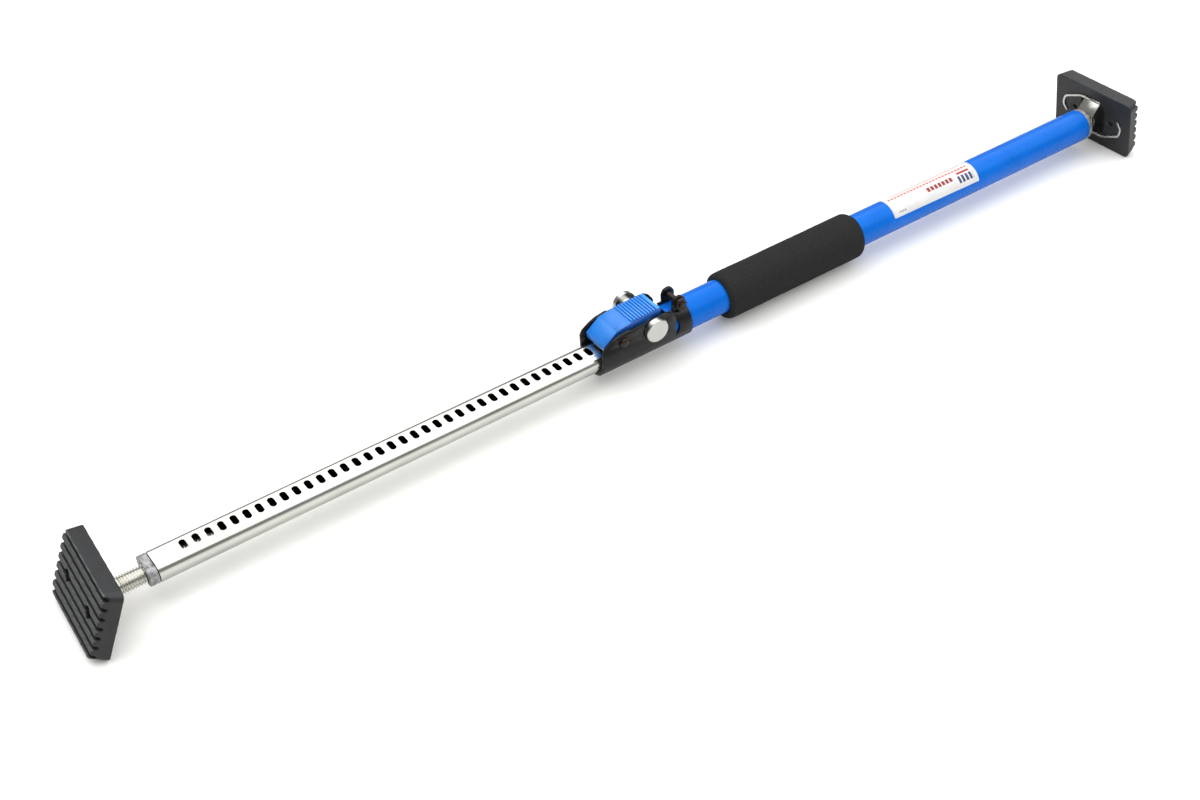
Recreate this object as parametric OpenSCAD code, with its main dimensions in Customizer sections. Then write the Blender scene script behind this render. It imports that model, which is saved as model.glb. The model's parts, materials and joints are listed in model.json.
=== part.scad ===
// Telescopic clamping bar: outer tube with latch housing, slotted inner tube, screw jack and two
// swivelling rubber feet. +X runs along the bar to the fixed foot, +Z is up, and the origin is
// under the middle of the bar on the surface that the feet stand on.

/* [Outer tube] */
// Outside diameter of the painted tube
outer_od = 28; // [26:0.5:30]
// Wall of the painted tube
outer_wall = 1.2; // [1:0.1:1.2]
// Length of the painted tube
outer_len = 457.5; // [430:0.5:480]

/* [Inner tube] */
// Outside diameter of the round part of the plated tube
inner_od = 25; // [23:0.5:25]
// Wall of the plated tube
inner_wall = 1.5; // [1.2:0.1:2]
// Height of the flat above the tube axis
flat_z = 6.1; // [5.6:0.1:6.2]
// Radius where the flat turns into the round sides
shoulder_r = 6; // [4:0.5:6]
// Length of the plated tube
inner_len = 500; // [460:1:505]
// Number of latch slots
slot_count = 41; // [30:1:41]
// Distance from slot to slot
slot_pitch = 9.5; // [9:0.1:10]
// Width of a slot along the tube
slot_w = 4.85; // [4.6:0.05:5.2]
// Length of a slot across the tube
slot_len = 10; // [9:0.5:11]

/* [Housing] */
// Sheet thickness of the housing
plate_t = 2; // [1.5:0.5:2]
// Length of the housing
housing_len = 84; // [84:0.5:86]
// Height of the side plates above the tube axis
plate_top = 22.8; // [22:0.2:24]

/* [Latch] */
// Lever pivot, behind the front of the housing
pivot_dx = 19; // [18:0.5:20]
// Lever pivot, above the tube axis
pivot_z = 14.8; // [14:0.2:15.5]
// Outside width of the lever
lever_w = 24; // [22:0.5:24]
// Diameter of the cross-bolt
lock_d = 14; // [12:0.5:14]
// Diameter of the cross-bolt's heads
lock_head_d = 19.6; // [18:0.2:20]
// Travel of the cross-bolt
lock_travel = 6.5; // [4:0.5:6.5]

/* [Screw jack] */
// Crest diameter of the rod's thread
rod_d = 13.8; // [12:0.1:13.9]
// Pitch of the thread
rod_pitch = 2; // [1.5:0.25:2]
// Length of the rod
rod_len = 73; // [60:1:80]

/* [Feet] */
// Length of a rubber pad at its back
pad_len = 83; // [70:1:84]
// Height of a rubber pad at its back
pad_h = 55; // [46:1:56]
// Thickness of a rubber pad with its ribs
pad_t = 13; // [12:0.5:14]
// Number of ribs
rib_count = 8; // [6:1:8]
// Distance from rib to rib
rib_pitch = 7.7; // [6:0.1:7.8]
// Distance between the two screw holes
screw_span = 40; // [36:1:44]
// Width of the steel bridge
bridge_w = 16.6; // [15:0.2:18]
// Tilt of the left foot at rest, in degrees
left_tilt = 24.5; // [0:0.5:25]
// Tilt of the right foot at rest, in degrees
right_tilt = 8.5; // [0:0.5:25]
// Turn of each foot about the vertical at rest, within the play of its swivel, in degrees
foot_turn = 2.3; // [0:0.1:2.5]

/* [Grip and label] */
// Outside diameter of the foam
foam_od = 39; // [36:0.5:42]
// Length of the foam
foam_len = 138.5; // [110:0.5:150]
// Length of the label
label_len = 95; // [70:1:110]

/* [Hidden] */
$fn = 96;

// Stations along the bar, counted from the first slot
first_slot = 0;
slot_to_end = 23.3;
tube_front = first_slot - slot_to_end;
cap_t = 7.2;
// Shadow gap between the cap's flange and the tube, and how far the cap goes in
cap_gap = 0.6;
cap_depth = 14;
housing_front = 335.5;
housing_rear = housing_front + housing_len;
band_len = 15.5;
band_front = housing_rear - band_len;
outer_front = band_front - 2;
outer_rear = outer_front + outer_len;
foam_front = 457;
foam_drop = 1.3;
foam_end = 4.4;
label_front = 631;
// Start and sweep of the label around the tube, in degrees, and its thickness
label_from = 61;
label_sweep = 102;
label_film = 0.15;

// Radii
outer_r = outer_od / 2;
outer_bore = outer_r - outer_wall;
inner_r = inner_od / 2;
housing_r = outer_r + plate_t;
foam_r = foam_od / 2;

// Lever, tooth and cross-bolt
pivot_x = housing_front + pivot_dx;
lever_pin_r = 2.5;
lock_x = housing_front + 48;
lock_z = 13.6;
lock_r = lock_d / 2;
lock_head_r = lock_head_d / 2;
wall_in = lever_w / 2 - 2;
clear = 0.3;
fit = 0.05;
latch_slot_x = first_slot + 36 * slot_pitch;
tooth_w = 2.2;
tooth_len = 7.6;
tooth_x = latch_slot_x - 1.7;

// Screw jack: the rod runs through the middle of the D section
rod_z = (flat_z - inner_r) / 2 - 0.1;
rod_r = rod_d / 2;
thread_depth = 0.6 * rod_pitch;

// Swivel: all distances from the pivot in the middle of the bridge's crown
swivel_gap = 4.4;
shank_r = 3.5;
bolt_head_r = 6.5;
bolt_head_t = 2.2;
washer_t = 1;
back_x = 10;
bridge_t = 2;
crown_half = 8.1;
base_half = 17.8;
bridge_hole_r = 5.9;
// The right foot rides up on its bolt by part of the slack in the bridge's hole
right_rise = 1.5;
left_pivot_x = tube_front - cap_t - 24.5;
right_pivot_x = outer_rear + 8.8;
plug_flange_t = 3.7;

// Pads
pad_draft = 3;
pad_draft_h = 1.2;
pad_corner_r = 5;
groove_d = 4;
groove_w = 2.6;
screw_r = 2.25;

// The bar's axis stands above the surface by the lower edges of the pads, and the origin is
// midway between the outermost corners of the two pads
function edge_x(tilt, rise) = let (dy = sin(foot_turn), dz = sin(tilt) * cos(foot_turn))
    (back_x + pad_t) * cos(tilt) * cos(foot_turn)
    + (pad_len / 2 - pad_draft - pad_corner_r) * dy
    + (pad_h / 2 - pad_draft_h - pad_corner_r - rise) * dz + pad_corner_r * norm([dy, dz]);
function edge_z(tilt, rise) = (pad_h / 2 - rise) * cos(tilt) - back_x * sin(tilt);
axis_z = max(edge_z(left_tilt, 0) - rod_z, edge_z(right_tilt, right_rise));
mid_x = (left_pivot_x - edge_x(left_tilt, 0) + right_pivot_x
    + edge_x(right_tilt, right_rise)) / 2;

// Moves a shape from stations along the bar to the finished frame
module in_place() {
    translate([-mid_x, 0, axis_z]) children();
}

// A disc or rod along X
module rod_x(x, r, len) {
    translate([x, 0, 0]) rotate([0, 90, 0]) cylinder(r = r, h = len);
}

// A disc or rod along Y
module rod_y(x, y, z, r, len) {
    translate([x, y, z]) rotate([-90, 0, 0]) cylinder(r = r, h = len);
}

// Extrudes a side view, drawn as X and Z, between two values of Y
module side_view(y0, y1) {
    translate([0, y1, 0]) rotate([90, 0, 0]) linear_extrude(y1 - y0) children();
}

// Extrudes a cross section, drawn as Y and Z, along X
module section(x, len) {
    translate([x, 0, 0]) rotate([90, 0, 90]) linear_extrude(len) children();
}

// D section of the plated tube, shrunk by the amount inset
module d_section(inset = 0) {
    cy = sqrt(pow(inner_r - shoulder_r, 2) - pow(flat_z - shoulder_r, 2));
    intersection() {
        circle(r = inner_r - inset);
        translate([-inner_r, -inner_r]) square([2 * inner_r, inner_r + flat_z - shoulder_r]);
    }
    for (side = [-1, 1])
        translate([side * cy, flat_z - shoulder_r]) circle(r = shoulder_r - inset);
    translate([-cy, 0]) square([2 * cy, flat_z - inset]);
}

// ---------------------------------------------------------------- outer tube side

module outer_tube() color("#1f74e8") in_place() difference() {
    rod_x(outer_front, outer_r, outer_len);
    rod_x(outer_front - 1, outer_bore, outer_len + 2);
}

module foam_grip() color("#2b2b2d") in_place() difference() {
    // the sleeve hangs slightly below the tube's axis and its ends are rounded off
    translate([foam_front, 0, -foam_drop]) rotate([0, 90, 0]) rotate_extrude()
        polygon([[0, 0], [foam_r - foam_end, 0], [foam_r - foam_end * 0.5, foam_end * 0.13],
            [foam_r - foam_end * 0.13, foam_end * 0.5], [foam_r, foam_end],
            [foam_r, foam_len - foam_end], [foam_r - foam_end * 0.13, foam_len - foam_end * 0.5],
            [foam_r - foam_end * 0.5, foam_len - foam_end * 0.13],
            [foam_r - foam_end, foam_len], [0, foam_len]]);
    rod_x(foam_front - 1, outer_r, foam_len + 2);
}

module label() color("#f4f4f2") in_place()
    translate([label_front, 0, 0]) rotate([90, 0, 90]) rotate([0, 0, label_from])
        rotate_extrude(angle = label_sweep) translate([outer_r, 0])
            square([label_film, label_len]);

// Outline of a side plate, as X and Z
module plate_outline() {
    x0 = housing_front;
    difference() {
        polygon([[x0, -housing_r - 1], [x0, 11.5], [x0 + 2.2, 15], [x0 + 9, 19.4],
            [x0 + 15, 21.6], [x0 + 22.5, plate_top], [x0 + 25, plate_top], [x0 + 25.6, 21.8],
            [x0 + 40, 22.2], [x0 + 54, plate_top + 0.2], [x0 + 60, plate_top],
            [x0 + 64.5, 20], [x0 + 67.2, 16], [band_front, 13], [band_front, -housing_r - 1]]);
        intersection() {
            translate([band_front - 5.3, 4.8]) circle(r = relief_r);
            translate([band_front - 0.4, -8]) square([8, 30]);
        }
    }
}

// U section of the housing, as Y and Z
module u_section() {
    difference() {
        union() {
            circle(r = housing_r);
            translate([-housing_r, 0]) square([2 * housing_r, plate_top + 2]);
        }
        circle(r = outer_r);
        translate([-outer_r, 0]) square([2 * outer_r, plate_top + 3]);
    }
}

// Hole that frees the clamp band from the side plates
relief_r = 9;

// Ears of the clamp band
ear_x = (band_front + housing_rear) / 2 + 0.5;
ear_y = 8;
ear_z = 20;
ear_r = 5.8;
clamp_bolt_r = 2.5;

module housing() color("#1b1b1d") in_place() {
    difference() {
        union() {
            intersection() {
                section(housing_front, housing_len - band_len + 0.01) u_section();
                side_view(-housing_r - 1, housing_r + 1) plate_outline();
            }
            // clamp band, open at the top between its ears
            section(band_front, band_len) difference() {
                circle(r = housing_r);
                circle(r = outer_r);
                translate([-ear_y + plate_t, 0]) square([2 * (ear_y - plate_t), housing_r + 1]);
            }
            for (side = [-1, 1]) difference() {
                translate([0, side * (ear_y - plate_t / 2), 0])
                    side_view(-plate_t / 2, plate_t / 2) {
                        translate([ear_x, ear_z]) circle(r = ear_r);
                        translate([ear_x - ear_r, outer_r - 3])
                            square([2 * ear_r, ear_z - outer_r + 3]);
                    }
                rod_x(band_front - 1, outer_r, band_len + 2);
            }
        }
        side_view(-housing_r - 1, housing_r + 1) intersection() {
            translate([band_front - 5.3, 4.8]) circle(r = relief_r);
            translate([band_front - 0.4, -8]) square([8, 30]);
        }
        rod_y(ear_x, -ear_y - 1, ear_z, clamp_bolt_r + fit, 2 * ear_y + 2);
        rod_y(pivot_x, -housing_r - 1, pivot_z, lever_pin_r, 2 * housing_r + 2);
        rod_y(lock_x, -housing_r - 1, lock_z, lock_r + fit, 2 * housing_r + 2);
    }
}

module front_guide() color("#202022") in_place()
    section(housing_front + 0.5, 16) difference() {
        circle(r = outer_r);
        circle(r = inner_r + clear);
        translate([-outer_r, 1]) square([2 * outer_r, outer_r]);
    }

module clamp_bolt() color("#232325") in_place() {
    rod_y(ear_x, -ear_y - 5.2, ear_z, clamp_bolt_r, 2 * ear_y + 5.2);
    // low round head on the far ear
    translate([ear_x, ear_y, ear_z]) rotate([-90, 0, 0]) rotate_extrude()
        polygon([[0, 0], [4.4, 0], [4.4, 1.2], [3.4, 2.2], [0, 2.4]]);
}

module clamp_nut() color("#232325") in_place()
    translate([ear_x, -ear_y - 4, ear_z]) rotate([-90, 0, 0]) difference() {
        cylinder(r = 5.2, h = 4, $fn = 6);
        translate([0, 0, -1]) cylinder(r = clamp_bolt_r, h = 6);
    }

module lever_pin() color("#2a2a2c") in_place() {
    rod_y(pivot_x, -housing_r, pivot_z, lever_pin_r, 2 * housing_r);
    for (side = [-1, 1]) translate([pivot_x, side * housing_r, pivot_z]) rotate([-side * 90, 0, 0])
        rotate_extrude() polygon([[0, 0], [3.9, 0], [3.9, 1.4], [3.2, 2.3], [1.8, 2.8], [0, 2.9]]);
}

seat_x = housing_front + 32;
seat_z = 6.9;
seat_t = 1.5;

module spring_seat() color("#c9c9c4") in_place() {
    translate([seat_x - 6.5, -outer_r, seat_z]) cube([13, 2 * outer_r, seat_t]);
    // short peg that centres the spring
    translate([seat_x, 0, seat_z + seat_t]) cylinder(r = 2.4, h = 2);
}

// Helical spring along Z from z = 0 to z = h
function helix_point(r, h, turns, a) = [r * cos(a), r * sin(a), h * a / (360 * turns)];
function ring_point(r, h, turns, a, wire, b) = let (c = helix_point(r, h, turns, a))
    [c[0] + wire * cos(b) * cos(a), c[1] + wire * cos(b) * sin(a), c[2] + wire * sin(b)];

module spring(r, wire, h, turns, steps = 16, sides = 8) {
    n = turns * steps;
    points = [for (i = [0 : n], j = [0 : sides - 1])
        ring_point(r, h - 2 * wire, turns, 360 * i / steps, wire, 360 * j / sides)];
    walls = [for (i = [0 : n - 1], j = [0 : sides - 1])
        [i * sides + j, i * sides + (j + 1) % sides, (i + 1) * sides + (j + 1) % sides,
            (i + 1) * sides + j]];
    ends = [[for (j = [sides - 1 : -1 : 0]) j], [for (j = [0 : sides - 1]) n * sides + j]];
    translate([0, 0, wire]) polyhedron(points, concat(walls, ends));
}

spring_top_z = 23.3;

module lever_spring() color("#b9bbbd") in_place()
    translate([seat_x, 0, seat_z + seat_t])
        spring(3.5, 0.45, spring_top_z - seat_z - seat_t, 7);

module end_plug() color("#a8a4a0") in_place() difference() {
    union() {
        rod_x(outer_rear - 22, outer_bore, 22);
        rod_x(outer_rear, outer_r - 0.2, plug_flange_t);
    }
    rod_x(outer_rear - 12, shank_r, 20);
    rod_x(outer_rear - 23, 9, 8);
}

// Shoulder bolt from inside its holder to its head, with +X towards the pad
module swivel_bolt(x, reach) {
    head = swivel_gap + washer_t;
    rod_x(x - reach, shank_r, reach + head);
    translate([x + head, 0, 0]) rotate([0, 90, 0])
        rotate_extrude() polygon([[0, 0], [bolt_head_r, 0], [bolt_head_r, 1], [5, bolt_head_t],
            [0, bolt_head_t]]);
}

module right_swivel_bolt() color("#c8c6be") in_place()
    swivel_bolt(right_pivot_x, right_pivot_x - outer_rear + 12);

module right_spacer() color("#b9ad8a") in_place() difference() {
    rod_x(outer_rear + plug_flange_t, 7, right_pivot_x - outer_rear - plug_flange_t - 4.7);
    rod_x(outer_rear, shank_r, 20);
}

// ---------------------------------------------------------------- latch

// Outer line of the lever from nose to tail, as X and Z
function lever_top() = let (x0 = housing_front) [[x0 + 4.5, 9], [x0 + 3.7, 14.4],
    [x0 + 15.8, 23.6], [x0 + 30, 25.7], [x0 + 55.6, 26]];

ridge_count = 9;
ridge_from = housing_front + 29.75;
ridge_pitch = 2.6;
ridge_w = 1.7;
ridge_h = 1.4;
last_ridge_w = 3.4;
ridge_draft = 0.25;

module lever() color("#2a7cf0") in_place() {
    x0 = housing_front;
    difference() {
        side_view(-lever_w / 2, lever_w / 2) difference() {
            polygon(concat(lever_top(), [[x0 + 57, 25.4], [x0 + 57, 12], [x0 + 30, 11.2],
                [x0 + 12, 9]]));
            // arch over the cross-bolt, open to the rear
            translate([lock_x, lock_z]) circle(r = lock_r + 0.4);
            translate([lock_x - lock_r - 0.4, 0]) square([2 * lock_r + 0.8, lock_z]);
            translate([lock_x, 0]) square([20, lock_z + 4.9]);
        }
        // hollow underside
        side_view(-wall_in, wall_in) polygon([[x0 + 12, 0], [x0 + 12, 15],
            [x0 + 17.4, 21.3], [x0 + 30.2, 23.4], [x0 + 58, 24], [x0 + 58, 0]]);
        rod_y(pivot_x, -lever_w, pivot_z, lever_pin_r + fit, 2 * lever_w);
        // seat for the tooth
        side_view(-tooth_len / 2, tooth_len / 2) tooth_profile();
    }
    // cross ridges, the last one wider
    for (i = [0 : ridge_count]) {
        x = ridge_from + i * ridge_pitch;
        z = 25.5 + i * 0.03;
        w = i < ridge_count ? ridge_w : last_ridge_w;
        side_view(-lever_w / 2 + 0.6, lever_w / 2 - 0.6)
            polygon([[x, z], [x + ridge_draft, z + ridge_h], [x + w - ridge_draft, z + ridge_h],
                [x + w, z]]);
    }
    // rivet bosses around the pivot
    for (side = [-1, 1]) difference() {
        rod_y(pivot_x, side > 0 ? lever_w / 2 - 3.4 : -lever_w / 2, pivot_z, 4.6, 3.4);
        rod_y(pivot_x, -lever_w, pivot_z, lever_pin_r + fit, 2 * lever_w);
    }
}

// The tooth stands straight below the lever's nose and leans back inside it
module tooth_profile() {
    polygon([[tooth_x, flat_z + clear], [tooth_x + tooth_w, flat_z + clear],
        [tooth_x + tooth_w, 8.6], [tooth_x + tooth_w + 4, 13.4], [tooth_x + 4.6, 13.4],
        [tooth_x, 8.2]]);
}

module latch_tooth() color("#8e9092") in_place()
    side_view(-tooth_len / 2, tooth_len / 2) tooth_profile();

lock_head_t = 4.1;
lock_near_y = -housing_r - 0.3;
lock_far_y = housing_r + 0.4 + lock_travel;
waist_r = 4.4;

// Cross-bolt: full diameter with a waist under each side wall of the lever
module lock_pin() color("#cfcfca") in_place() translate([lock_x, 0, lock_z]) rotate([-90, 0, 0])
    rotate_extrude() polygon([[0, lock_near_y - lock_head_t],
        [lock_head_r - 0.6, lock_near_y - lock_head_t], [lock_head_r, lock_near_y - lock_head_t + 0.6],
        [lock_head_r, lock_near_y], [lock_r, lock_near_y],
        [lock_r, -wall_in - 2.6], [waist_r, -wall_in - 2.6], [waist_r, -wall_in + 0.6],
        [lock_r, -wall_in + 0.6], [lock_r, wall_in - 0.6], [waist_r, wall_in - 0.6],
        [waist_r, wall_in + 2.6], [lock_r, wall_in + 2.6], [lock_r, lock_far_y],
        [3.5, lock_far_y], [3.5, lock_far_y + 3], [0, lock_far_y + 3]]);

module lock_pin_head() color("#cfcfca") in_place() translate([lock_x, lock_far_y, lock_z])
    rotate([-90, 0, 0]) rotate_extrude() polygon([[3.5, 0], [lock_head_r, 0],
        [lock_head_r, lock_head_t - 0.6], [lock_head_r - 0.6, lock_head_t], [0, lock_head_t],
        [0, 3], [3.5, 3]]);

// ---------------------------------------------------------------- inner tube side

module inner_tube() color("#d9dbd2") in_place() difference() {
    section(tube_front, inner_len) difference() {
        d_section();
        d_section(inner_wall);
    }
    for (i = [0 : slot_count - 1]) translate([first_slot + i * slot_pitch, 0, 0]) {
        for (side = [-1, 1]) translate([0, side * (slot_len - slot_w) / 2, 3])
            cylinder(r = slot_w / 2, h = 5);
        translate([-slot_w / 2, -(slot_len - slot_w) / 2, 3]) cube([slot_w, slot_len - slot_w, 5]);
    }
}

module end_cap() color("#9b9ca2") in_place() difference() {
    union() {
        section(tube_front - cap_t, cap_t - cap_gap) d_section(0.1);
        section(tube_front - cap_gap, cap_depth + cap_gap) d_section(inner_wall);
    }
    translate([0, 0, rod_z])
        rod_x(tube_front - cap_t - 1, rod_r + fit, cap_t + cap_depth + 2);
}

module inner_tube_plug() color("#2e2e30") in_place() {
    section(tube_front + inner_len - 12, 12) d_section(inner_wall);
    section(tube_front + inner_len, 3) d_section(0.1);
}

// Threaded rod: the thread's crests and roots as rings at the true pitch
module threaded_rod() color("#cfcfc4") in_place() translate([rod_end_x, 0, rod_z])
    difference() {
        rotate([0, 90, 0]) rotate_extrude() polygon(concat([[0, 0], [rod_r - thread_depth, 0]],
            [for (i = [0 : floor(rod_len / rod_pitch) - 1], p = [[0.1, 0], [0.44, 1], [0.56, 1],
                [0.9, 0]]) [rod_r - thread_depth * (1 - p[1]), (i + p[0]) * rod_pitch]],
            [[rod_r - thread_depth, rod_len], [0, rod_len]]));
        rod_x(-1, shank_r, 15);
    }

rod_end_x = left_pivot_x + swivel_gap + 0.3 + washer_t;

module left_end() {
    translate([left_pivot_x, 0, rod_z]) rotate([0, 0, 180]) children();
}

module left_swivel_bolt() color("#c8c6be") in_place() left_end() swivel_bolt(0, 19.7);

module left_thrust_washer() color("#b9ad8a") in_place() left_end() difference() {
    rod_x(-swivel_gap - 0.25 - washer_t, rod_r, washer_t);
    rod_x(-20, shank_r + fit, 40);
}

module inner_washer() {
    difference() {
        rod_x(swivel_gap, 6.2, washer_t - 0.05);
        rod_x(0, shank_r + fit, 20);
    }
}

module left_inner_washer() color("#b9ad8a") in_place() left_end() inner_washer();

module right_inner_washer() color("#b9ad8a") in_place() translate([right_pivot_x, 0, 0])
    inner_washer();

// ---------------------------------------------------------------- feet

// Side profile of the bridge, as X (towards the pad) and Z
module bridge_profile() {
    xb = back_x + 0.5;
    xo = back_x - 1.2;
    polygon([[xb, base_half], [xo, base_half], [xo, 16.2], [-1, crown_half], [-1, -crown_half],
        [xo, -16.2], [xo, -base_half], [xb, -base_half], [xb, -15.2], [1, -crown_half + 0.8],
        [1, crown_half - 0.8], [xb, 15.2]]);
}

// A path with each inner corner turned into an arc-like curve that starts r before it
function unit(v) = v / norm(v);
function bend(a, b, c, r) = let (p = b + r * unit(a - b), q = b + r * unit(c - b))
    [for (t = [0 : 0.25 : 1]) (1 - t) * (1 - t) * p + 2 * t * (1 - t) * b + t * t * q];
function rounded_path(p, r) = [p[0], for (i = [1 : len(p) - 2]) each bend(p[i - 1], p[i],
    p[i + 1], r), p[len(p) - 1]];
function side_step(p, i, w) = let (d = unit(p[min(i + 1, len(p) - 1)] - p[max(i - 1, 0)]))
    p[i] + w * [-d[1], d[0]];

// Hooked arm of the bracket, as Y and Z
arm_w = 1.9;
module arm_outline() {
    path = rounded_path([[bridge_w / 2 - 1, 16.6], [12.3, 16.9], [30.2, 8.4], [32.3, -0.4],
        [27.8, -6.4]], 3.2);
    last = len(path) - 1;
    polygon([for (i = [0 : last]) side_step(path, i, arm_w / 2),
        for (i = [last : -1 : 0]) side_step(path, i, -arm_w / 2)]);
}

module arms(x, len) {
    section(x, len) {
        arm_outline();
        rotate([0, 0, 180]) arm_outline();
    }
}

module bracket() {
    difference() {
        side_view(-bridge_w / 2, bridge_w / 2) bridge_profile();
        rod_x(-5, bridge_hole_r, 10);
    }
    arms(back_x - 1.2, 1.7);
}

module rounded_rect(w, h, r) {
    for (y = [-1, 1]) translate([-w / 2 + r, y < 0 ? -h / 2 : -h / 2 + r])
        square([w - 2 * r, h - r]);
    for (x = [-1, 1]) translate([x < 0 ? -w / 2 : -w / 2 + r, -h / 2 + r])
        square([w - r, h - 2 * r]);
    for (x = [-1, 1], y = [-1, 1]) translate([x * (w / 2 - r), y * (h / 2 - r)]) circle(r = r);
}

module pad() {
    front_x = back_x + pad_t;
    difference() {
        hull() {
            section(back_x, 0.01) rounded_rect(pad_len, pad_h, pad_corner_r, $fn = 32);
            section(front_x - 0.01, 0.01)
                rounded_rect(pad_len - 2 * pad_draft, pad_h - 2 * pad_draft_h, pad_corner_r,
                    $fn = 32);
        }
        // grooves between the ribs
        for (i = [1 : rib_count - 1]) translate([0, 0, (i - rib_count / 2) * rib_pitch])
            side_view(-pad_len, pad_len) polygon([[front_x + 1, -groove_w / 2 - 0.9],
                [front_x - groove_d, -groove_w / 2 + 0.4], [front_x - groove_d, groove_w / 2 - 0.4],
                [front_x + 1, groove_w / 2 + 0.9]]);
        // pocket under the bridge, and the seats of the bracket's arms and feet
        translate([back_x - 1, -12.5, -13.5]) cube([4, 25, 27]);
        arms(back_x - 1, 1.5);
        for (side = [-1, 1]) translate([back_x - 1, -bridge_w / 2, side * 16.2 - 1.6])
            cube([1.5, bridge_w, 3.2]);
        // screw holes, sunk in the ribbed face
        for (side = [-1, 1]) translate([0, side * screw_span / 2, 0]) {
            rod_x(back_x - 1, screw_r, pad_t + 2);
            rod_x(back_x - 1, 5, 1.5);
            rod_x(front_x - 6, 4.6, 8);
        }
    }
}

module left_foot() {
    left_end() rotate([0, 0, -foot_turn]) rotate([0, -left_tilt, 0]) children();
}

module right_foot() {
    translate([right_pivot_x, 0, 0]) rotate([0, 0, foot_turn]) rotate([0, -right_tilt, 0])
        translate([0, 0, right_rise]) children();
}

module left_bracket() color("#d5d5cf") in_place() left_foot() bracket();
module right_bracket() color("#d5d5cf") in_place() right_foot() bracket();
module left_pad() color("#303235") in_place() left_foot() pad();
module right_pad() color("#303235") in_place() right_foot() pad();

outer_tube();
foam_grip();
label();
housing();
front_guide();
clamp_bolt();
clamp_nut();
lever_pin();
spring_seat();
lever_spring();
end_plug();
right_swivel_bolt();
right_spacer();
lever();
latch_tooth();
lock_pin();
lock_pin_head();
inner_tube();
end_cap();
inner_tube_plug();
threaded_rod();
left_swivel_bolt();
left_thrust_washer();
left_inner_washer();
right_inner_washer();
left_bracket();
right_bracket();
left_pad();
right_pad();
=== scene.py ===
import json
import math

import bmesh
import bpy
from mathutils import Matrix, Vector, noise


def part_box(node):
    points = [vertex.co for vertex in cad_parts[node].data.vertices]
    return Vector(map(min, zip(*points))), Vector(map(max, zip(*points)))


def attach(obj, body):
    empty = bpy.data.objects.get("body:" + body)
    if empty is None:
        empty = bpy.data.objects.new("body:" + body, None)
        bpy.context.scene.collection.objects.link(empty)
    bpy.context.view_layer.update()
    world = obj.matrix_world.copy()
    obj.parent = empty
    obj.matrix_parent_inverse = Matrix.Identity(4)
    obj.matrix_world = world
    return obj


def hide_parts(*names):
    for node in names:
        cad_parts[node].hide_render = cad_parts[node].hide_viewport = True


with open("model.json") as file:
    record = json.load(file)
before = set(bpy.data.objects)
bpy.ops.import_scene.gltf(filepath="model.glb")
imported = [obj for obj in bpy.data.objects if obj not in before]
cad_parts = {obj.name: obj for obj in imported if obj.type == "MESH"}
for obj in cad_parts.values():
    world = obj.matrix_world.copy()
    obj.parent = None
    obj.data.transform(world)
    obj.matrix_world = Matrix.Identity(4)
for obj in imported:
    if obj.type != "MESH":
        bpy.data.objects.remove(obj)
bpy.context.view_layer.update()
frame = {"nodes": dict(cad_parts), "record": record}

MM = 0.001
RECORD = frame["record"]
NODES = frame["nodes"]
SLOTS = {s["node"]: s["material_slot"] for s in RECORD["subparts"]}
MOUNTS = {m["name"]: m for m in RECORD["mounts"]}
JOINTS = {j["name"]: j for j in RECORD["behaviour"]["joints"]}

# a noise texture's values lie mostly between these two
NOISE_SPAN = (0.3, 0.7)

# where the label starts and ends around the tube, and how far it is turned at its front end
LABEL_ARC = (math.radians(60), math.radians(163))
LABEL_SKEW = math.radians(6)

# the foam's broad swells and fine ones: scale along the sleeve, scale around it, height
FOAM_SWELLS = ((30, 0.9, 0.22 * MM), (160, 5, 0.09 * MM))
FOAM_INSET = 0.25 * MM

# the camera's place from the fixed foot's swivel in metres, its angles in degrees, its lens in mm
CAMERA_OFFSET = (-1.062478, -0.835512, 0.805505)
CAMERA_ANGLES = (49.2992, 2.6493, -34.8861)
CAMERA_LENS = 50.4


# ---------------------------------------------------------------- node helpers

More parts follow.
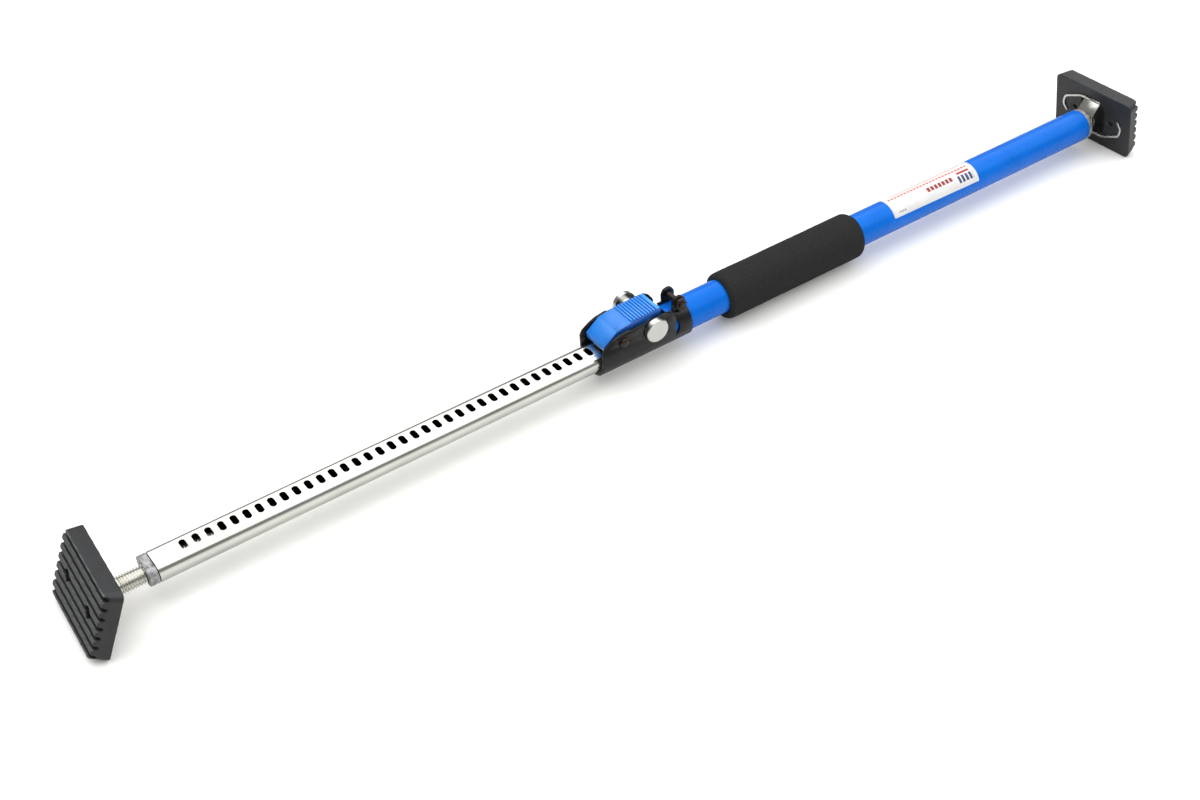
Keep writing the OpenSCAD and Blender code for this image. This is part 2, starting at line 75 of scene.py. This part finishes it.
class Shader:
    """A Principled material with short helpers for its node graph."""

    def __init__(self, name, **inputs):
        self.material = bpy.data.materials.new(name)
        self.material.use_nodes = True
        self.tree = self.material.node_tree
        self.tree.nodes.clear()
        output = self.tree.nodes.new("ShaderNodeOutputMaterial")
        self.bsdf = self.tree.nodes.new("ShaderNodeBsdfPrincipled")
        self.link(self.bsdf.outputs["BSDF"], output.inputs["Surface"])
        self.coords = self.tree.nodes.new("ShaderNodeTexCoord").outputs["Object"]
        for key, value in inputs.items():
            self.bsdf.inputs[key.replace("_", " ")].default_value = value

    def link(self, source, target):
        self.tree.links.new(source, target)

    def mapped(self, scale):
        node = self.tree.nodes.new("ShaderNodeMapping")
        node.inputs["Scale"].default_value = scale
        self.link(self.coords, node.inputs["Vector"])
        return node.outputs["Vector"]

    def noise(self, scale, detail=3.0, stretch=(1, 1, 1), roughness=0.5):
        """Noise with features of about 1/scale metres."""
        node = self.tree.nodes.new("ShaderNodeTexNoise")
        node.inputs["Scale"].default_value = scale
        node.inputs["Detail"].default_value = detail
        node.inputs["Roughness"].default_value = roughness
        self.link(self.mapped(stretch), node.inputs["Vector"])
        return node.outputs["Fac"]

    def cells(self, scale):
        """Distance to the nearest cell centre, for cells of about 1/scale metres."""
        node = self.tree.nodes.new("ShaderNodeTexVoronoi")
        node.inputs["Scale"].default_value = scale
        self.link(self.mapped((1, 1, 1)), node.inputs["Vector"])
        return node.outputs["Distance"]

    def math(self, operation, a, b=0.0, c=0.0):
        """A Math node; each operand is a number or a socket."""
        node = self.tree.nodes.new("ShaderNodeMath")
        node.operation = operation
        for socket, value in zip(node.inputs, (a, b, c)):
            if isinstance(value, (int, float)):
                socket.default_value = value
            else:
                self.link(value, socket)
        return node.outputs["Value"]

    def remap(self, value, low, high, to_low, to_high):
        """The value, clamped to low..high and stretched to to_low..to_high."""
        node = self.tree.nodes.new("ShaderNodeMapRange")
        for name, number in (("From Min", low), ("From Max", high),
                             ("To Min", to_low), ("To Max", to_high)):
            node.inputs[name].default_value = number
        self.link(value, node.inputs["Value"])
        return node.outputs["Result"]

    def ramp(self, value, stops):
        """A colour for the value, from (place, colour) stops."""
        node = self.tree.nodes.new("ShaderNodeValToRGB")
        elements = node.color_ramp.elements
        while len(elements) < len(stops):
            elements.new(0.5)
        for element, (place, color) in zip(elements, stops):
            element.position = place
            element.color = (*color, 1)
        self.link(value, node.inputs["Fac"])
        return node.outputs["Color"]

    def tones(self, pattern, dark, light):
        """A colour that moves between two tones with a noise pattern."""
        return self.ramp(pattern, list(zip(NOISE_SPAN, (dark, light))))

    def mix(self, factor, a, b):
        """The colour between a and b; each input is a constant or a socket."""
        node = self.tree.nodes.new("ShaderNodeMix")
        node.data_type = "RGBA"
        for socket, value in ((node.inputs["Factor"], factor), (node.inputs["A"], a),
                              (node.inputs["B"], b)):
            if isinstance(value, tuple):
                socket.default_value = (*value, 1)
            elif isinstance(value, (int, float)):
                socket.default_value = value
            else:
                self.link(value, socket)
        return node.outputs["Result"]

    def attribute(self, name):
        """A mask stored on the mesh, 0 where the mesh has none."""
        node = self.tree.nodes.new("ShaderNodeAttribute")
        node.attribute_name = name
        return node.outputs["Fac"]

    def axes(self):
        node = self.tree.nodes.new("ShaderNodeSeparateXYZ")
        self.link(self.coords, node.inputs["Vector"])
        return node.outputs["X"], node.outputs["Y"], node.outputs["Z"]

    def color(self, value):
        self.link(value, self.bsdf.inputs["Base Color"])

    def roughness(self, pattern, low, high):
        """Roughness that moves from low to high with a noise pattern."""
        self.link(self.remap(pattern, *NOISE_SPAN, low, high), self.bsdf.inputs["Roughness"])

    def bump(self, height, distance, strength):
        node = self.tree.nodes.new("ShaderNodeBump")
        node.inputs["Distance"].default_value = distance
        node.inputs["Strength"].default_value = strength
        self.link(height, node.inputs["Height"])
        self.link(node.outputs["Normal"], self.bsdf.inputs["Normal"])


# ---------------------------------------------------------------- materials

def blue_paint():
    """Gloss paint with a faint orange peel."""
    s = Shader("blue_paint", Specular_IOR_Level=0.42, Specular_Tint=(0.16, 0.45, 1.0, 1))
    s.color(s.tones(s.noise(35, 4), (0.003, 0.132, 0.62), (0.005, 0.16, 0.7)))
    s.roughness(s.noise(180, 4), 0.2, 0.3)
    s.bump(s.noise(520, 2), 0.00006, 0.35)
    return s.material


def blue_lever():
    """Satin blue, with painted shade in the grooves between the cross ridges and on the lever's
    sides, and a painted highlight on the ridges' crests.
    """
    s = Shader("blue_lever", Specular_IOR_Level=1.0, Specular_Tint=(0.85, 0.95, 1.0, 1))
    tone = s.tones(s.noise(60, 3), (0.005, 0.175, 0.68), (0.009, 0.215, 0.76))
    # painted highlight: the ridge crests lighter
    crests = s.mix(s.attribute("crest"), tone, (0.05, 0.33, 0.98))
    # painted shade: the grooves and the lever's sides darker
    s.color(s.mix(s.attribute("painted_shade"), crests, (0.002, 0.045, 0.32)))
    s.roughness(s.noise(400, 4), 0.34, 0.48)
    s.bump(s.noise(900, 3), 0.00005, 0.4)
    return s.material


def black_coat(name, gloss, warmth=1.0):
    """Black coat or oxide; a lower gloss value is shinier, more warmth makes it browner."""
    s = Shader(name, Specular_IOR_Level=0.35, Coat_Weight=0.12, Coat_Roughness=0.15)
    s.color(s.tones(s.noise(90, 4), (0.004 * warmth, 0.004, 0.005 / warmth),
                    (0.01 * warmth, 0.01, 0.011 / warmth)))
    s.roughness(s.noise(260, 5), gloss, gloss + 0.14)
    s.bump(s.noise(1100, 3), 0.00006, 0.4)
    return s.material


def black_plastic():
    """Moulded plastic with a fine grain."""
    s = Shader("black_plastic")
    s.color(s.tones(s.noise(150, 4), (0.012, 0.012, 0.013), (0.02, 0.02, 0.022)))
    s.roughness(s.noise(500, 4), 0.4, 0.55)
    s.bump(s.noise(1500, 2), 0.00004, 0.5)
    return s.material


def plated(name, tone, rough, streak=(1, 1, 1), grain=300):
    """Zinc or nickel plate: a faint cloudy tone, fine rolling lines and painted shade, near
    black, on the insides.
    """
    s = Shader(name, Metallic=1.0)
    cloud = s.noise(28, 4)
    plate = s.tones(cloud, tuple(0.86 * t for t in tone), tone)
    fresh = s.mix(s.attribute("bright"), plate, (0.98, 0.97, 0.9))
    # painted shade: the insides and gaps near black
    s.color(s.mix(s.attribute("inside"), fresh, (0.012, 0.012, 0.013)))
    lines = s.noise(grain, 4, streak)
    wear = s.math("ADD", s.math("MULTIPLY", lines, 0.6), s.math("MULTIPLY", cloud, 0.4))
    s.roughness(wear, rough, rough + 0.12)
    s.bump(lines, 0.00004, 0.35)
    return s.material


def cast_zinc():
    """Blotchy die-cast metal with painted shade in the joint to the tube."""
    s = Shader("cast_zinc", Metallic=0.6)
    blotch = s.noise(300, 6, roughness=0.7)
    metal = s.ramp(blotch, [(0.34, (0.13, 0.125, 0.13)), (0.46, (0.34, 0.335, 0.345)),
                            (0.64, (0.56, 0.555, 0.56))])
    # painted shade: the joint near black
    s.color(s.mix(s.attribute("inside"), metal, (0.01, 0.01, 0.01)))
    s.roughness(blotch, 0.55, 0.36)
    s.bump(s.noise(900, 5), 0.00025, 0.6)
    return s.material


def rubber():
    """Moulded rubber, with painted shade in the grooves and a painted highlight along the ribs'
    upper edges.
    """
    s = Shader("rubber", Specular_IOR_Level=0.5)
    dust = s.noise(70, 5, roughness=0.6)
    base = s.tones(dust, (0.017, 0.0175, 0.019), (0.025, 0.026, 0.028))
    # painted highlight: greyer along the ribs' upper edges
    painted_edge_highlight = s.mix(s.attribute("painted_edge_highlight"), base, (0.1, 0.104, 0.11))
    # painted shade: near black in the grooves
    s.color(s.mix(s.attribute("painted_shade"), painted_edge_highlight, (0.002, 0.002, 0.002)))
    s.roughness(s.noise(350, 4), 0.36, 0.5)
    s.bump(s.math("ADD", s.noise(1600, 3), s.math("MULTIPLY", dust, 0.6)), 0.00012, 0.5)
    return s.material


def foam():
    """Matt closed-cell foam with fine pores."""
    s = Shader("foam", Specular_IOR_Level=0.08)
    pores = s.cells(1500)
    walls = s.remap(pores, 0.15, 0.5, 0, 1)
    s.color(s.mix(walls, (0.038, 0.038, 0.038), (0.022, 0.022, 0.022)))
    s.roughness(s.noise(300, 4), 0.7, 0.88)
    s.bump(s.math("SUBTRACT", s.math("MULTIPLY", s.noise(700, 4), 0.6), pores), 0.0003, 0.6)
    return s.material


def sticker():
    """White film with a generic red, blue and grey print: bars in place of any wording."""
    low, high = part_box("label")
    axis = JOINTS["right_roll"]["pos_m"][2]
    s = Shader("sticker", Specular_IOR_Level=0.5, Coat_Weight=0.2, Coat_Roughness=0.1)
    x, y, z = s.axes()
    along = s.remap(x, low.x, high.x, 0, 1)
    angle = s.math("ARCTAN2", s.math("SUBTRACT", z, axis), y)
    level = s.math("ADD", angle, s.math("MULTIPLY", s.math("SUBTRACT", 1, along), LABEL_SKEW))
    around = s.remap(level, *LABEL_ARC, 0, 1)

    def window(value, start, end):
        return s.math("MULTIPLY", s.math("GREATER_THAN", value, start),
                      s.math("LESS_THAN", value, end))

    def block(x0, x1, y0, y1):
        return s.math("MULTIPLY", window(along, x0, x1), window(around, y0, y1))

    def dashes(count, duty, x0, x1, y0, y1):
        steps = s.math("FRACT", s.math("MULTIPLY", along, count))
        return s.math("MULTIPLY", s.math("LESS_THAN", steps, duty), block(x0, x1, y0, y1))

    # each print spans fractions of the label's length, then of its width around the tube
    color = s.tones(s.noise(120, 3), (0.74, 0.74, 0.74), (0.79, 0.79, 0.79))
    for mask, ink in (
            (dashes(34, 0.66, 0.1, 0.9, 0.13, 0.165), (0.8, 0.26, 0.14)),
            (dashes(27, 0.72, 0.04, 0.95, 0.27, 0.34), (0.66, 0.1, 0.03)),
            (block(0.76, 0.9, 0.34, 0.38), (0.55, 0.57, 0.62)),
            (block(0.8, 0.94, 0.43, 0.51), (0.42, 0.005, 0.01)),
            (dashes(23, 0.66, 0.785, 0.96, 0.57, 0.82), (0.03, 0.045, 0.15)),
            (dashes(23, 0.72, 0.42, 0.74, 0.49, 0.65), (0.3, 0.005, 0.01)),
            (block(0.42, 0.5, 0.72, 0.84), (0.74, 0.75, 0.76)),
            (block(0.33, 0.4, 0.76, 0.88), (0.8, 0.8, 0.81)),
            (dashes(46, 0.6, 0.07, 0.15, 0.83, 0.88), (0.12, 0.12, 0.14))):
        color = s.mix(mask, color, ink)
    s.color(color)
    s.roughness(s.noise(200, 3), 0.3, 0.42)
    return s.material


MATERIALS = {
    "blue_paint": blue_paint(),
    "blue_lever": blue_lever(),
    "black_steel": black_coat("black_steel", 0.26),
    "black_bolt": black_coat("black_bolt", 0.2, 2.4),
    "black_plastic": black_plastic(),
    "zinc_plate": plated("zinc_plate", (0.8, 0.79, 0.74), 0.2),
    "spring_steel": plated("spring_steel", (0.72, 0.72, 0.72), 0.25),
    "tooth_steel": plated("tooth_steel", (0.1, 0.1, 0.11), 0.4),
    "nickel": plated("nickel", (0.78, 0.77, 0.74), 0.16),
    "tube_plating": plated("tube_plating", (0.86, 0.86, 0.81), 0.14, (0.02, 1, 1), 900),
    "cast_zinc": cast_zinc(),
    "rubber": rubber(),
    "foam": foam(),
    "sticker": sticker(),
}


# ---------------------------------------------------------------- pieces

def paint(obj, slot):
    obj.data.materials.clear()
    obj.data.materials.append(MATERIALS[slot])


def body_holding(node):
    return next(b for b, names in RECORD["behaviour"]["bodies"].items() if node in names)


def apply_modifiers(obj):
    graph = bpy.context.evaluated_depsgraph_get()
    mesh = bpy.data.meshes.new_from_object(obj.evaluated_get(graph))
    obj.modifiers.clear()
    obj.data = mesh


def copy_of(node, name):
    """A new piece with the shape of a CAD node, to be refined."""
    obj = bpy.data.objects.new(name, NODES[node].data.copy())
    bpy.context.scene.collection.objects.link(obj)
    work = bmesh.new()
    work.from_mesh(obj.data)
    bmesh.ops.remove_doubles(work, verts=work.verts, dist=2e-6)
    bmesh.ops.recalc_face_normals(work, faces=work.faces)
    work.to_mesh(obj.data)
    work.free()
    paint(obj, SLOTS[node])
    return obj


def finish_piece(obj, node):
    """Shades the piece smooth and lets it stand for the node, on the node's body."""
    for polygon in obj.data.polygons:
        polygon.use_smooth = True
    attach(obj, body_holding(node))
    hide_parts(node)
    return obj


def bevelled(node, width, angle=32):
    """A CAD node with the edges rounded that are sharper than the angle.

    The width is an upper limit: the modifier's overlap clamp keeps the rounding of the whole
    piece narrower where any of its edges lie close together.
    """
    obj = copy_of(node, node + "_finished")
    work = bmesh.new()
    work.from_mesh(obj.data)
    # joins the triangles of each flat face
    bmesh.ops.dissolve_limit(work, angle_limit=math.radians(0.6),
                             verts=work.verts, edges=work.edges)
    work.to_mesh(obj.data)
    work.free()
    bevel = obj.modifiers.new("bevel", "BEVEL")
    bevel.width = width
    bevel.segments = 2
    bevel.angle_limit = math.radians(angle)
    bevel.harden_normals = True
    apply_modifiers(obj)
    return finish_piece(obj, node)


def moulded(node, voxel, rounds):
    """A CAD node as a moulding: every edge softly rounded."""
    obj = copy_of(node, node + "_moulded")
    remesh = obj.modifiers.new("remesh", "REMESH")
    remesh.mode = "VOXEL"
    remesh.voxel_size = voxel
    smooth = obj.modifiers.new("smooth", "SMOOTH")
    smooth.factor = 0.5
    smooth.iterations = rounds
    apply_modifiers(obj)
    return finish_piece(obj, node)


def new_mesh(name, verts, faces, node):
    """A piece of our own that stands for a CAD node."""
    mesh = bpy.data.meshes.new(name)
    mesh.from_pydata(verts, [], faces)
    mesh.validate()
    obj = bpy.data.objects.new(name, mesh)
    bpy.context.scene.collection.objects.link(obj)
    paint(obj, SLOTS[node])
    return finish_piece(obj, node)


def round_size(node):
    """The height of the axis and the radius of a node that is round about the bar."""
    low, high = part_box(node)
    return (low.z + high.z) / 2, (high.z - low.z) / 2


def ring(x, axis, radii):
    """Points around the bar's axis at one x, one for each radius."""
    turn = 2 * math.pi / len(radii)
    return [(x, r * math.cos(turn * i), axis + r * math.sin(turn * i))
            for i, r in enumerate(radii)]


def ring_faces(rings, steps):
    """Faces that join each ring of points to the next."""
    faces = []
    for start in range(0, (rings - 1) * steps, steps):
        for j in range(steps):
            k = (j + 1) % steps
            faces.append((start + j, start + k, start + steps + k, start + steps + j))
    return faces


def foam_profile(low, high, radius, bore):
    """The sleeve's outline, as (x, radius), from the bore at one end to the bore at the other."""
    round_x, round_r = 5 * MM, 4.6 * MM
    arc = [math.pi / 2 * i / 10 for i in range(11)]
    front = [(low.x + round_x * (1 - math.sin(a)), radius - round_r * (1 - math.cos(a)))
             for a in reversed(arc)]
    back = [(low.x + high.x - x, r) for x, r in reversed(front)]
    barrel = [(low.x + round_x + (high.x - low.x - 2 * round_x) * i / 60, radius)
              for i in range(1, 60)]
    return [(low.x + 0.4 * MM, bore)] + front + barrel + back + [(high.x - 0.4 * MM, bore)]


def foam_grip():
    """The sleeve with soft ends and a slightly uneven skin, around its own lower axis."""
    low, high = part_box("foam_grip")
    axis, radius = round_size("foam_grip")
    tube_axis, tube_radius = round_size("outer_tube")
    bore = tube_radius + 0.05 * MM
    profile = foam_profile(low, high, radius, bore)
    steps = 128

    def skin(x, r):
        """The radii around one ring, swelling and sinking a little inside the CAD's."""
        radii = []
        for j in range(steps):
            a = 2 * math.pi * j / steps
            y, z = math.cos(a), math.sin(a)
            swell = sum(noise.noise(Vector((x * along, y * around, z * around))) * height
                        for along, around, height in FOAM_SWELLS)
            radii.append(r + swell - FOAM_INSET)
        return radii

    verts = []
    for x, r in profile:
        if r > bore + 2 * MM:
            verts += ring(x, axis, skin(x, r))
        else:
            verts += ring(x, tube_axis, [r] * steps)
    faces = ring_faces(len(profile), steps)
    last = (len(profile) - 1) * steps
    for j in range(steps):
        k = (j + 1) % steps
        faces.append((last + j, last + k, k, j))
    new_mesh("foam_sleeve", verts, faces, "foam_grip")


def thread():
    """The jack rod with its right-hand thread, blunt at both ends."""
    low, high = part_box("threaded_rod")
    axis, crest = round_size("threaded_rod")
    length = high.x - low.x
    pitch = 2 * MM
    depth = 0.62 * pitch
    chamfer = 1.1 * MM
    per_pitch, around = 12, 72

    def flank(phase):
        """The thread's height at this part of its pitch: flat crest and root, sloped sides."""
        return min(1.0, max(0.0, 1.35 - abs(phase - 0.5) * 4.4))

    count = int(length / pitch * per_pitch)
    verts = []
    for i in range(count + 1):
        x = length * i / count
        blunt = max(0.0, 1 - x / chamfer, 1 - (length - x) / chamfer) * depth
        rises = [flank((x / pitch - j / around) % 1.0) for j in range(around)]
        radii = [crest - max(depth * (1 - rise), blunt) for rise in rises]
        verts += ring(low.x + x, axis, radii)
    faces = ring_faces(count + 1, around)
    faces.append(tuple(range(around - 1, -1, -1)))
    faces.append(tuple(count * around + j for j in range(around)))
    obj = new_mesh("jack_thread", verts, faces, "threaded_rod")
    root = crest - 0.92 * depth
    # painted shade at the thread's roots
    mark_faces(obj, "inside", lambda centre, normal: (
        0.45 * (math.hypot(centre.y, centre.z - axis) < root)))
    mark_faces(obj, "bright", lambda centre, normal: 1)


def label_points(lift, columns, rows):
    """A sheet at this height over the tube, a little askew, with round corners."""
    low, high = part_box("label")
    axis, radius = round_size("outer_tube")
    corner = 0.7 * MM
    across = radius * (LABEL_ARC[1] - LABEL_ARC[0])
    sheet = []
    for j in range(rows + 1):
        v = across * j / rows
        edge = max(0.0, corner - min(v, across - v))
        inset = corner - math.sqrt(corner ** 2 - edge ** 2)
        for i in range(columns + 1):
            x = low.x + inset + (high.x - low.x - 2 * inset) * i / columns
            a = LABEL_ARC[0] + v / radius - LABEL_SKEW * (high.x - x) / (high.x - low.x)
            sheet.append((x, (radius + lift) * math.cos(a), axis + (radius + lift) * math.sin(a)))
    return sheet


def label_sheet():
    """The sticker, wrapped over the top of the tube: two skins and the rim between them."""
    columns, rows = 48, 64
    verts = label_points(0.02 * MM, columns, rows) + label_points(0.13 * MM, columns, rows)
    step, layer = columns + 1, (columns + 1) * (rows + 1)
    faces = []
    for j in range(rows):
        for i in range(columns):
            a = j * step + i
            faces.append((a, a + 1, a + step + 1, a + step))
            faces.append((layer + a, layer + a + step, layer + a + step + 1, layer + a + 1))
    rim = list(range(step)) + [j * step + columns for j in range(1, rows + 1)]
    rim += [rows * step + i for i in range(columns - 1, -1, -1)]
    rim += [j * step for j in range(rows - 1, 0, -1)]
    for a, b in zip(rim, rim[1:] + rim[:1]):
        faces.append((a, layer + a, layer + b, b))
    new_mesh("label_sheet", verts, faces, "label")


def mark_faces(obj, name, chosen):
    """Stores a mask on the faces: chosen(centre, normal) from 0 to 1."""
    mask = obj.data.attributes.new(name, "FLOAT", "FACE")
    for polygon in obj.data.polygons:
        mask.data[polygon.index].value = float(chosen(polygon.center, polygon.normal))


def mark_tube_inside(obj):
    """Painted shade on the tube's lining and the slots' walls; the flat on top stays flat-shaded.
    """
    axis = round_size("outer_tube")[0]
    slots_above = axis + 4 * MM
    slot_half_width = 5.2 * MM

    def hidden(centre, normal):
        lining = centre.y * normal.y + (centre.z - axis) * normal.z < -0.3 * MM
        in_slot = centre.z > slots_above and abs(centre.y) < slot_half_width
        return lining or (in_slot and abs(normal.z) < 0.5)

    mark_faces(obj, "inside", hidden)
    for polygon in obj.data.polygons:
        polygon.use_smooth = polygon.normal.z < 0.9999


def mark_grooves(obj):
    """Painted shade on the lever's top between its ridges and on its shaded sides, and a painted
    highlight on the ridges' crests.
    """
    low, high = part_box("lever")
    ridges_from = low.x + 25.5 * MM
    ridge_half_width = 11.5 * MM

    # painted shade: 0.7 on the lever's sides, 1 in the grooves between the ridges
    def painted_shade(centre, normal):
        down = high.z - centre.z
        if abs(normal.y) > 0.8 and down > 1.6 * MM:
            return 0.7
        ridged = centre.x > ridges_from and abs(centre.y) < ridge_half_width
        return ridged and abs(normal.y) < 0.5 and 0.9 * MM < down < 2 * MM

    # painted highlight on the ridges' crests
    def crest(centre, normal):
        down = high.z - centre.z
        return centre.x > ridges_from and down < 0.5 * MM and normal.z > 0.6

    mark_faces(obj, "painted_shade", painted_shade)
    mark_faces(obj, "crest", crest)


def mark_ribs(obj, side):
    """Painted shade in a pad's grooves, darker with depth, and a painted highlight on the upper
    edges of its ribs.
    """
    face = MOUNTS[side + "_face"]
    outward = Vector(face["axis"])
    across = Vector((0, 0, 1)).cross(outward).normalized()
    upward = outward.cross(across)
    middle = Vector(MOUNTS[side + "_screws"]["pos_m"])
    front = Vector(face["pos_m"])
    ribs_half_height = 25 * MM
    rib_depth = 4.6 * MM
    edge_depth = 1.6 * MM

    # painted shade, darker the deeper in the grooves
    def painted_shade(centre, normal):
        depth = (front - centre).dot(outward)
        ribbed = abs((centre - middle).dot(upward)) < ribs_half_height
        if depth > rib_depth or not ribbed or abs(normal.dot(across)) > 0.7:
            return 0
        return min(1.0, max(0.0, (depth - 1.2 * MM) / (2 * MM)))

    # painted highlight on the ribs' upper edges
    def painted_edge_highlight(centre, normal):
        depth = (front - centre).dot(outward)
        if depth > edge_depth or not 0.25 < normal.dot(upward) < 0.95:
            return 0
        return min(1.0, (edge_depth - depth) / (0.6 * MM))

    mark_faces(obj, "painted_shade", painted_shade)
    mark_faces(obj, "painted_edge_highlight", painted_edge_highlight)


def mark_gap(obj):
    """Painted shade for the dark line between the end cap's flange and the tube."""
    gap_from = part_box("inner_tube")[0].x - 0.62 * MM
    mark_faces(obj, "inside", lambda centre, normal: centre.x > gap_from)


for name, slot in SLOTS.items():
    paint(NODES[name], slot)

foam_grip()
label_sheet()
thread()
for side in ("left", "right"):
    mark_ribs(moulded(side + "_pad", voxel=0.5 * MM, rounds=2), side)
for name, width in (("housing", 0.35), ("left_bracket", 0.3), ("right_bracket", 0.3),
                    ("clamp_bolt", 0.25), ("clamp_nut", 0.25)):
    bevelled(name, width * MM)
mark_gap(bevelled("end_cap", 0.45 * MM))
mark_grooves(bevelled("lever", 0.3 * MM, angle=18))
mark_tube_inside(bevelled("inner_tube", 0.12 * MM))


# ---------------------------------------------------------------- studio

def floor():
    """A pale floor just under the feet, a little brighter to the camera."""
    mesh = bpy.data.meshes.new("studio_floor")
    far = 40
    mesh.from_pydata([(-far, -far, 0), (far, -far, 0), (far, far, 0), (-far, far, 0)],
                     [], [(0, 1, 2, 3)])
    obj = bpy.data.objects.new("studio_floor", mesh)
    obj.location.z = -0.05 * MM
    bpy.context.scene.collection.objects.link(obj)
    s = Shader("studio_white", Roughness=0.55, Specular_IOR_Level=0.2,
               Emission_Color=(1, 1, 1, 1))
    # painted reflection, for glossy rays only: the plated parts mirror a white tabletop that ends
    # near the bar, in a darker room
    rays = s.tree.nodes.new("ShaderNodeLightPath").outputs
    beside = s.math("ABSOLUTE", s.axes()[1])
    painted_reflection = s.ramp(s.remap(beside, 0.04, 0.3, 0, 1),
                   [(0, (0.7, 0.7, 0.69)), (1, (0.3, 0.3, 0.28))])
    # painted reflection: the floor's colour changes for glossy rays
    s.color(s.mix(rays["Is Glossy Ray"], (0.92, 0.915, 0.89), painted_reflection))
    s.link(s.math("MULTIPLY", rays["Is Camera Ray"], 0.1), s.bsdf.inputs["Emission Strength"])
    mesh.materials.append(s.material)


def area_light(name, place, target, size, power):
    """A soft lamp that the glossy parts don't mirror."""
    data = bpy.data.lights.new(name, "AREA")
    data.shape = "RECTANGLE"
    data.size, data.size_y = size
    data.energy = power
    obj = bpy.data.objects.new(name, data)
    obj.location = place
    direction = Vector(target) - Vector(place)
    obj.rotation_euler = direction.to_track_quat("-Z", "Y").to_euler()
    obj.visible_glossy = False
    bpy.context.scene.collection.objects.link(obj)


def sky():
    """A white ceiling over darker walls, which the glossy parts mirror.

    The ceiling's edge is lower towards the fixed foot.
    """
    world = bpy.data.worlds.new("studio")
    bpy.context.scene.world = world
    world.use_nodes = True
    tree = world.node_tree
    direction = tree.nodes.new("ShaderNodeTexCoord").outputs["Generated"]
    split = tree.nodes.new("ShaderNodeSeparateXYZ")
    slope = tree.nodes.new("ShaderNodeMath")
    slope.operation = "MULTIPLY_ADD"
    slope.inputs[1].default_value = 0.2
    ramp = tree.nodes.new("ShaderNodeValToRGB")
    tree.links.new(direction, split.inputs["Vector"])
    tree.links.new(split.outputs["X"], slope.inputs[0])
    tree.links.new(split.outputs["Z"], slope.inputs[2])
    tree.links.new(slope.outputs["Value"], ramp.inputs["Fac"])
    elements = ramp.color_ramp.elements
    elements[0].position, elements[0].color = 0.54, (0.13, 0.13, 0.125, 1)
    elements[1].position, elements[1].color = 0.68, (1, 1, 1, 1)
    background = tree.nodes["Background"]
    tree.links.new(ramp.outputs["Color"], background.inputs["Color"])
    background.inputs["Strength"].default_value = 1.65


def studio():
    floor()
    sky()
    area_light("key", place=(-0.9, 0.9, 1.8), target=(0.1, 0, 0), size=(2.2, 2.2), power=20)
    area_light("fill", place=(0.9, -1.2, 1.4), target=(0, 0, 0), size=(1.6, 1.2), power=6)


def camera():
    """The photo's viewing angle, fitted to the bar's slots and both feet."""
    data = bpy.data.cameras.new("camera")
    data.lens = CAMERA_LENS
    data.sensor_width = 36
    data.clip_end = 150
    obj = bpy.data.objects.new("camera", data)
    obj.location = Vector(JOINTS["right_roll"]["pos_m"]) + Vector(CAMERA_OFFSET)
    obj.rotation_euler = [math.radians(a) for a in CAMERA_ANGLES]
    bpy.context.scene.collection.objects.link(obj)
    bpy.context.scene.camera = obj


studio()
camera()
scene = bpy.context.scene
scene.view_settings.view_transform = "Standard"
scene.view_settings.look = "None"
